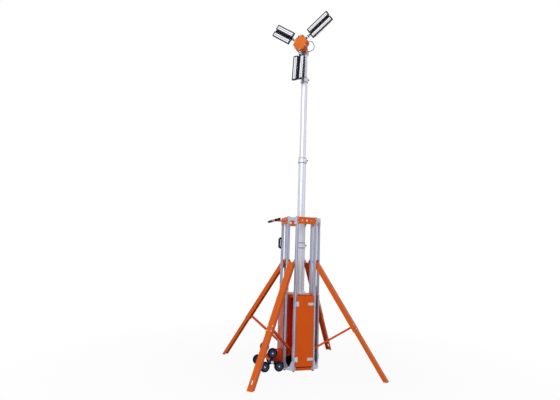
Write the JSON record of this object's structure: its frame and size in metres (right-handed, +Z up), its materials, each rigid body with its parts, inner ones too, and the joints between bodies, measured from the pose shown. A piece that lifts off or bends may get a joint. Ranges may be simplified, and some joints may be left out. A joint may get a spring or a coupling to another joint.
{
  "type": "mobile light tower",
  "caption": "Mobile light tower with an extruded frame, folding outrigger legs, a telescopic mast and an LED lamp head.",
  "frame": {"origin": "on the ground under the mast axis", "axes": "+Z up along the mast, -Y out of the front door, -X towards the pull bar and the stair wheels"},
  "size_m": [1.7254, 1.7254, 4.8853],
  "materials": {
    "post_aluminium": "satin, extruded",
    "orange_paint": "semi-gloss powder coat",
    "well_paint": "semi-gloss powder coat",
    "mast_aluminium": "anodised, satin",
    "steel": "zinc plated",
    "black_rubber": "matte",
    "black_metal": "semi-gloss",
    "wheel_rubber": "matte",
    "battery_case": "matte",
    "lamp_metal": "black powder coat",
    "cable_jacket": "matte",
    "clamp_metal": "cast, satin"
  },
  "bodies": {
    "frame": {"posts": "post_aluminium", "post_feet": "black_rubber", "ring_plates": "orange_paint", "top_gussets": "post_aluminium", "bottom_gussets": "post_aluminium", "bottom_rails": "orange_paint", "base_plate": "black_metal", "leg_wells": "well_paint", "strut_brackets": "orange_paint", "deck": "orange_paint", "pocket_clips": "black_rubber", "leg_pivot_pins": "steel", "side_panel": "orange_paint", "door_hardware": "steel", "battery_block": "battery_case", "mast_tube_1": "mast_aluminium", "mast_flange": "mast_aluminium", "axle_bracket": "orange_paint", "axle": "black_metal", "handle_arm": "orange_paint", "handle_bar": "steel", "handle_grips": "black_rubber", "pull_handles": "black_rubber"},
    "door_front": {"door_front": "orange_paint", "door_fittings_front": "steel"},
    "door_right": {"door_right": "orange_paint", "door_fittings_right": "steel"},
    "door_back": {"door_back": "orange_paint", "door_fittings_back": "steel"},
    "mast_2": {"mast_tube_2": "mast_aluminium"},
    "mast_3": {"mast_tube_3": "mast_aluminium"},
    "mast_4": {"mast_tube_4": "mast_aluminium"},
    "head_pan": {"head_clamp": "clamp_metal", "head_yoke": "orange_paint"},
    "head_tilt": {"lamp_hub": "orange_paint", "head_cable": "cable_jacket"},
    "lamp_right": {"lamp_right": "lamp_metal"},
    "lamp_left": {"lamp_left": "lamp_metal"},
    "lamp_bottom": {"lamp_bottom": "lamp_metal"},
    "leg_upper_front_left": {"leg_upper_front_left": "orange_paint"},
    "leg_lower_front_left": {"leg_lower_front_left": "orange_paint"},
    "strut_front_left": {"strut_front_left": "orange_paint"},
    "leg_upper_front_right": {"leg_upper_front_right": "orange_paint"},
    "leg_lower_front_right": {"leg_lower_front_right": "orange_paint"},
    "strut_front_right": {"strut_front_right": "orange_paint"},
    "leg_upper_back_right": {"leg_upper_back_right": "orange_paint"},
    "leg_lower_back_right": {"leg_lower_back_right": "orange_paint"},
    "strut_back_right": {"strut_back_right": "orange_paint"},
    "leg_upper_back_left": {"leg_upper_back_left": "orange_paint"},
    "leg_lower_back_left": {"leg_lower_back_left": "orange_paint"},
    "strut_back_left": {"strut_back_left": "orange_paint"},
    "star_front": {"star_front": "black_metal"},
    "wheel_front_top": {"wheel_front_top": "wheel_rubber"},
    "wheel_front_outer": {"wheel_front_outer": "wheel_rubber"},
    "wheel_front_inner": {"wheel_front_inner": "wheel_rubber"},
    "star_back": {"star_back": "black_metal"},
    "wheel_back_top": {"wheel_back_top": "wheel_rubber"},
    "wheel_back_outer": {"wheel_back_outer": "wheel_rubber"},
    "wheel_back_inner": {"wheel_back_inner": "wheel_rubber"}
  },
  "joints": [
    {"name": "door_front_hinge", "type": "hinge", "parent": "frame", "child": "door_front", "pos_m": [-0.1215, -0.24901, 0.49], "axis": [0, 0, -1], "range_deg": [0, 110]},
    {"name": "door_right_hinge", "type": "hinge", "parent": "frame", "child": "door_right", "pos_m": [0.24901, -0.1215, 0.49], "axis": [0, 0, -1], "range_deg": [0, 110]},
    {"name": "door_back_hinge", "type": "hinge", "parent": "frame", "child": "door_back", "pos_m": [0.1215, 0.24901, 0.49], "axis": [0, 0, -1], "range_deg": [0, 110]},
    {"name": "mast_2_slide", "type": "slide", "parent": "frame", "child": "mast_2", "axis": [0, 0, -1], "range_m": [0, 1.1]},
    {"name": "mast_3_slide", "type": "slide", "parent": "mast_2", "child": "mast_3", "axis": [0, 0, -1], "range_m": [0, 1.1]},
    {"name": "mast_4_slide", "type": "slide", "parent": "mast_3", "child": "mast_4", "axis": [0, 0, 1], "range_m": [0, 0.6]},
    {"name": "head_pan_hinge", "type": "hinge", "parent": "mast_4", "child": "head_pan", "pos_m": [0, 0, 4.43], "axis": [0, 0, 1], "range_deg": [-170, 170]},
    {"name": "head_tilt_hinge", "type": "hinge", "parent": "head_pan", "child": "head_tilt", "pos_m": [-0.03983, -0.03343, 4.486], "axis": [-0.6428, 0.766, 0], "range_deg": [0, 90]},
    {"name": "lamp_right_swivel", "type": "hinge", "parent": "head_tilt", "child": "lamp_right", "pos_m": [0.09434, -0.32712, 4.68048], "axis": [0.5451, -0.6496, 0.5299], "range_deg": [-30, 30]},
    {"name": "lamp_left_swivel", "type": "hinge", "parent": "head_tilt", "child": "lamp_left", "pos_m": [-0.29411, 0.13582, 4.70687], "axis": [-0.5134, 0.6118, 0.6018], "range_deg": [-30, 30]},
    {"name": "lamp_bottom_swivel", "type": "hinge", "parent": "head_tilt", "child": "lamp_bottom", "pos_m": [-0.11806, -0.07399, 4.1195], "axis": [-0.0336, 0.0401, -0.9986], "range_deg": [-15, 15]},
    {"name": "leg_front_left_fold", "type": "hinge", "parent": "frame", "child": "leg_upper_front_left", "pos_m": [-0.17678, -0.17678, 1.352], "axis": [0.7071, -0.7071, 0], "range_deg": [0, 34.09]},
    {"name": "leg_front_left_telescope", "type": "slide", "parent": "leg_upper_front_left", "child": "leg_lower_front_left", "axis": [0.3963, 0.3963, 0.8282], "range_m": [0, 0.45368]},
    {"name": "strut_front_left_pivot", "type": "hinge", "parent": "leg_lower_front_left", "child": "strut_front_left", "pos_m": [-0.53276, -0.53276, 0.59028], "axis": [-0.7071, 0.7071, 0], "range_deg": [0, 88.38]},
    {"name": "leg_front_right_fold", "type": "hinge", "parent": "frame", "child": "leg_upper_front_right", "pos_m": [0.17678, -0.17678, 1.352], "axis": [0.7071, 0.7071, 0], "range_deg": [0, 34.09]},
    {"name": "leg_front_right_telescope", "type": "slide", "parent": "leg_upper_front_right", "child": "leg_lower_front_right", "axis": [-0.3963, 0.3963, 0.8282], "range_m": [0, 0.45368]},
    {"name": "strut_front_right_pivot", "type": "hinge", "parent": "leg_lower_front_right", "child": "strut_front_right", "pos_m": [0.53276, -0.53276, 0.59028], "axis": [-0.7071, -0.7071, 0], "range_deg": [0, 88.38]},
    {"name": "leg_back_right_fold", "type": "hinge", "parent": "frame", "child": "leg_upper_back_right", "pos_m": [0.17678, 0.17678, 1.352], "axis": [-0.7071, 0.7071, 0], "range_deg": [0, 34.09]},
    {"name": "leg_back_right_telescope", "type": "slide", "parent": "leg_upper_back_right", "child": "leg_lower_back_right", "axis": [-0.3963, -0.3963, 0.8282], "range_m": [0, 0.45368]},
    {"name": "strut_back_right_pivot", "type": "hinge", "parent": "leg_lower_back_right", "child": "strut_back_right", "pos_m": [0.53276, 0.53276, 0.59028], "axis": [0.7071, -0.7071, 0], "range_deg": [0, 88.38]},
    {"name": "leg_back_left_fold", "type": "hinge", "parent": "frame", "child": "leg_upper_back_left", "pos_m": [-0.17678, 0.17678, 1.352], "axis": [-0.7071, -0.7071, 0], "range_deg": [0, 34.09]},
    {"name": "leg_back_left_telescope", "type": "slide", "parent": "leg_upper_back_left", "child": "leg_lower_back_left", "axis": [0.3963, -0.3963, 0.8282], "range_m": [0, 0.45368]},
    {"name": "strut_back_left_pivot", "type": "hinge", "parent": "leg_lower_back_left", "child": "strut_back_left", "pos_m": [-0.53276, 0.53276, 0.59028], "axis": [0.7071, 0.7071, 0], "range_deg": [0, 88.38]},
    {"name": "star_front_turn", "type": "hinge", "parent": "frame", "child": "star_front", "pos_m": [-0.403, -0.168, 0.119], "axis": [0, 1, 0], "continuous": true},
    {"name": "wheel_front_top_spin", "type": "hinge", "parent": "star_front", "child": "wheel_front_top", "pos_m": [-0.403, -0.1883, 0.226], "axis": [0, 1, 0], "continuous": true},
    {"name": "wheel_front_outer_spin", "type": "hinge", "parent": "star_front", "child": "wheel_front_outer", "pos_m": [-0.49566, -0.1883, 0.0655], "axis": [0, 1, 0], "continuous": true},
    {"name": "wheel_front_inner_spin", "type": "hinge", "parent": "star_front", "child": "wheel_front_inner", "pos_m": [-0.31034, -0.1883, 0.0655], "axis": [0, 1, 0], "continuous": true},
    {"name": "star_back_turn", "type": "hinge", "parent": "frame", "child": "star_back", "pos_m": [-0.403, 0.168, 0.119], "axis": [0, 1, 0], "continuous": true},
    {"name": "wheel_back_top_spin", "type": "hinge", "parent": "star_back", "child": "wheel_back_top", "pos_m": [-0.403, 0.1883, 0.226], "axis": [0, 1, 0], "continuous": true},
    {"name": "wheel_back_outer_spin", "type": "hinge", "parent": "star_back", "child": "wheel_back_outer", "pos_m": [-0.49566, 0.1883, 0.0655], "axis": [0, 1, 0], "continuous": true},
    {"name": "wheel_back_inner_spin", "type": "hinge", "parent": "star_back", "child": "wheel_back_inner", "pos_m": [-0.31034, 0.1883, 0.0655], "axis": [0, 1, 0], "continuous": true}
  ],
  "couplings": [
    {"joint": "leg_front_left_telescope", "follows": "leg_front_left_fold", "m_per_rad": 0.76168},
    {"joint": "strut_front_left_pivot", "follows": "leg_front_left_fold", "ratio": 2.5912},
    {"joint": "leg_front_right_telescope", "follows": "leg_front_right_fold", "m_per_rad": 0.76168},
    {"joint": "strut_front_right_pivot", "follows": "leg_front_right_fold", "ratio": 2.5912},
    {"joint": "leg_back_right_telescope", "follows": "leg_back_right_fold", "m_per_rad": 0.76168},
    {"joint": "strut_back_right_pivot", "follows": "leg_back_right_fold", "ratio": 2.5912},
    {"joint": "leg_back_left_telescope", "follows": "leg_back_left_fold", "m_per_rad": 0.76168},
    {"joint": "strut_back_left_pivot", "follows": "leg_back_left_fold", "ratio": 2.5912}
  ]
}
